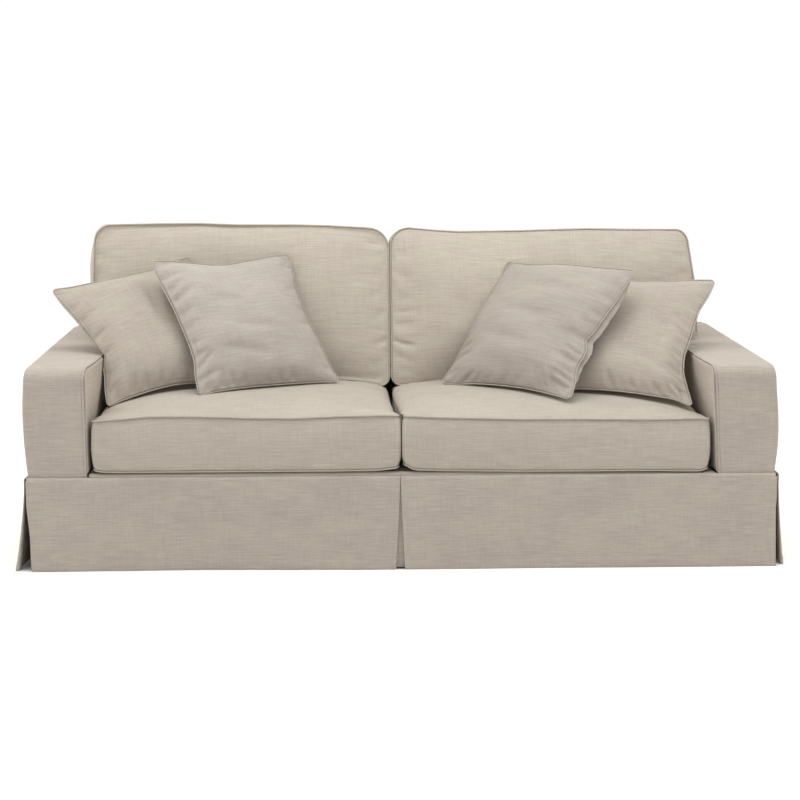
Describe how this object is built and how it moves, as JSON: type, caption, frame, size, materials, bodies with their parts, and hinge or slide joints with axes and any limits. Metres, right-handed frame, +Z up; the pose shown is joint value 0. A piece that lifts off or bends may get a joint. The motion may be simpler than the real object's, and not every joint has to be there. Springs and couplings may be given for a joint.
{
  "type": "sofa slipcover",
  "caption": "Fitted slub-linen sofa slipcover: a hollow skirted shell with track arms, filled boxed seat and back cushions with welted edges, and loose knife-edge scatter cushions.",
  "frame": {"origin": "centre of the overall box at floor level, where the skirt's hem hangs", "axes": "+X to the right as seen from the front, -Y towards the front (the open side of the seat), +Z up"},
  "size_m": [2.236, 1, 0.9552],
  "materials": {
    "welt_cloth": "matt slubby plain weave",
    "seat_cushion_cloth": "matt slubby plain weave",
    "back_cushion_cloth": "matt slubby plain weave",
    "scatter_cushion_cloth": "matt slubby plain weave",
    "skirt_cloth": "matt slubby plain weave",
    "body_cloth": "matt slubby plain weave"
  },
  "bodies": {
    "root": {"arm_band_left": "body_cloth", "arm_band_right": "body_cloth", "arm_inside_left": "body_cloth", "arm_inside_right": "body_cloth", "arm_outside_left": "body_cloth", "arm_outside_right": "body_cloth", "back_band": "body_cloth", "back_cushion_left": "back_cushion_cloth", "back_cushion_left_front_welt": "welt_cloth", "back_cushion_left_rear_welt": "welt_cloth", "back_cushion_right": "back_cushion_cloth", "back_cushion_right_front_welt": "welt_cloth", "back_cushion_right_rear_welt": "welt_cloth", "back_inside": "body_cloth", "back_outside": "body_cloth", "front_rail": "body_cloth", "pillow_front_left": "scatter_cushion_cloth", "pillow_front_left_welt": "welt_cloth", "pillow_front_right": "scatter_cushion_cloth", "pillow_front_right_welt": "welt_cloth", "pillow_rear_left": "scatter_cushion_cloth", "pillow_rear_left_welt": "welt_cloth", "pillow_rear_right": "scatter_cushion_cloth", "pillow_rear_right_welt": "welt_cloth", "seat_cushion_left": "seat_cushion_cloth", "seat_cushion_left_bottom_welt": "welt_cloth", "seat_cushion_left_top_welt": "welt_cloth", "seat_cushion_right": "seat_cushion_cloth", "seat_cushion_right_bottom_welt": "welt_cloth", "seat_cushion_right_top_welt": "welt_cloth", "seat_deck": "body_cloth", "skirt_back": "skirt_cloth", "skirt_front_left": "skirt_cloth", "skirt_front_right": "skirt_cloth", "skirt_side_left": "skirt_cloth", "skirt_side_right": "skirt_cloth", "underlay_centre": "skirt_cloth", "underlay_front_left": "skirt_cloth", "underlay_front_right": "skirt_cloth", "underlay_rear_left": "skirt_cloth", "underlay_rear_right": "skirt_cloth"}
  },
  "joints": []
}
